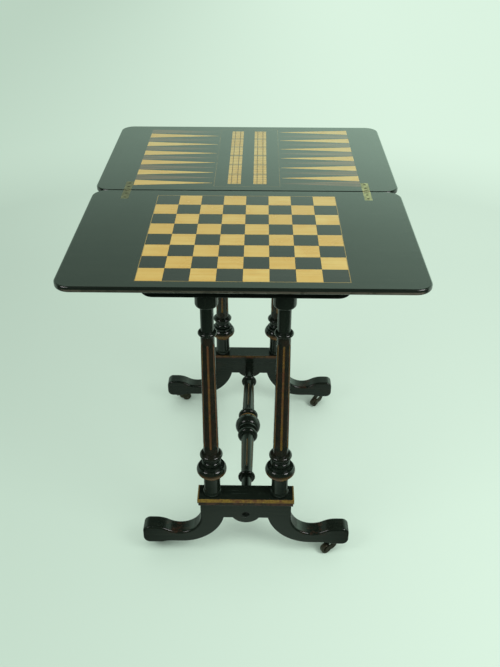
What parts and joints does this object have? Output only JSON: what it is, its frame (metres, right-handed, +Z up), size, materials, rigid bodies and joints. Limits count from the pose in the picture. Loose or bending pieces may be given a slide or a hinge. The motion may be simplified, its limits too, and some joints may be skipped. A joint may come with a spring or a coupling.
{
  "type": "games table",
  "caption": "Ebonised swivel-top table with an inlaid chess leaf and a fold-over backgammon and cribbage leaf on turned columns, scroll feet and castors.",
  "frame": {"origin": "on the floor, under the middle of the fold line, with the top open", "axes": "+X along the fold line, +Y from the chess leaf towards the backgammon leaf, +Z up"},
  "size_m": [0.685, 0.8902, 0.72],
  "materials": {
    "ebonised_wood": "black polish over wood, gilt in the turnings",
    "boxwood": "polished boxwood inlay",
    "ebony": "polished black inlay",
    "rosewood": "polished dark brown inlay",
    "aged_brass": "aged brass",
    "iron": "dull iron",
    "dowel_wood": "bare wood",
    "castor_wheel": "dark tarnished brass"
  },
  "bodies": {
    "base": {"bed_board": "ebonised_wood", "front_block": "ebonised_wood", "rear_block": "ebonised_wood", "front_block_cap": "ebonised_wood", "rear_block_cap": "ebonised_wood", "stretcher": "ebonised_wood", "stretcher_bosses": "ebonised_wood", "foot_dowels": "dowel_wood", "pivot_bush": "iron", "castor_screws": "iron", "column_front_left": "ebonised_wood", "column_front_right": "ebonised_wood", "column_rear_left": "ebonised_wood", "column_rear_right": "ebonised_wood", "foot_front_left": "ebonised_wood", "foot_front_right": "ebonised_wood", "foot_rear_left": "ebonised_wood", "foot_rear_right": "ebonised_wood", "castor_plate_front_left": "aged_brass", "castor_plate_front_right": "aged_brass", "castor_plate_rear_left": "aged_brass", "castor_plate_rear_right": "aged_brass"},
    "chess_side": {"chess_leaf": "ebonised_wood", "chess_light_squares": "boxwood", "chess_dark_squares": "ebony", "chess_stringing": "boxwood", "chess_hinge_plates": "aged_brass", "chess_hinge_screws": "aged_brass", "chess_hinge_pins": "aged_brass", "pivot_plate": "iron", "pivot_plate_screws": "iron", "pivot_washer": "iron", "pivot_nut": "iron", "swivel_stop_peg": "dowel_wood"},
    "links": {"hinge_links": "aged_brass"},
    "games_side": {"games_leaf": "ebonised_wood", "light_points": "boxwood", "dark_points": "rosewood", "games_stringing": "boxwood", "cribbage_tablets": "boxwood", "games_hinge_plates": "aged_brass", "games_hinge_screws": "aged_brass", "games_hinge_pins": "aged_brass"},
    "castor_front_left": {"castor_horn_front_left": "aged_brass", "castor_axle_front_left": "iron"},
    "wheel_front_left": {"castor_wheel_front_left": "castor_wheel"},
    "castor_front_right": {"castor_horn_front_right": "aged_brass", "castor_axle_front_right": "iron"},
    "wheel_front_right": {"castor_wheel_front_right": "castor_wheel"},
    "castor_rear_left": {"castor_horn_rear_left": "aged_brass", "castor_axle_rear_left": "iron"},
    "wheel_rear_left": {"castor_wheel_rear_left": "castor_wheel"},
    "castor_rear_right": {"castor_horn_rear_right": "aged_brass", "castor_axle_rear_right": "iron"},
    "wheel_rear_right": {"castor_wheel_rear_right": "castor_wheel"}
  },
  "joints": [
    {"name": "top_swivel", "type": "hinge", "parent": "base", "child": "chess_side", "pos_m": [0.05775, -0.1699, 0.707], "axis": [0, 0, -1], "range_deg": [0, 90]},
    {"name": "link_fold", "type": "hinge", "parent": "chess_side", "child": "links", "pos_m": [0, -0.00315, 0.717], "axis": [1, 0, 0], "range_deg": [0, 90]},
    {"name": "leaf_fold", "type": "hinge", "parent": "links", "child": "games_side", "pos_m": [0, 0.00315, 0.717], "axis": [1, 0, 0], "range_deg": [0, 90]},
    {"name": "castor_front_left_swivel", "type": "hinge", "parent": "base", "child": "castor_front_left", "pos_m": [-0.20065, -0.38865, 0.027], "axis": [0, 0, 1], "continuous": true},
    {"name": "castor_front_left_roll", "type": "hinge", "parent": "castor_front_left", "child": "wheel_front_left", "pos_m": [-0.19804, -0.36379, 0.012], "axis": [-0.9945, 0.1045, 0], "continuous": true},
    {"name": "castor_front_right_swivel", "type": "hinge", "parent": "base", "child": "castor_front_right", "pos_m": [0.21065, -0.38865, 0.027], "axis": [0, 0, 1], "continuous": true},
    {"name": "castor_front_right_roll", "type": "hinge", "parent": "castor_front_right", "child": "wheel_front_right", "pos_m": [0.18799, -0.39921, 0.012], "axis": [0.4226, -0.9063, 0], "continuous": true},
    {"name": "castor_rear_left_swivel", "type": "hinge", "parent": "base", "child": "castor_rear_left", "pos_m": [-0.20065, 0.16435, 0.027], "axis": [0, 0, 1], "continuous": true},
    {"name": "castor_rear_left_roll", "type": "hinge", "parent": "castor_rear_left", "child": "wheel_rear_left", "pos_m": [-0.17731, 0.17331, 0.012], "axis": [-0.3584, 0.9336, 0], "continuous": true},
    {"name": "castor_rear_right_swivel", "type": "hinge", "parent": "base", "child": "castor_rear_right", "pos_m": [0.21065, 0.16435, 0.027], "axis": [0, 0, 1], "continuous": true},
    {"name": "castor_rear_right_roll", "type": "hinge", "parent": "castor_rear_right", "child": "wheel_rear_right", "pos_m": [0.19122, 0.14862, 0.012], "axis": [0.6293, -0.7771, 0], "continuous": true}
  ]
}
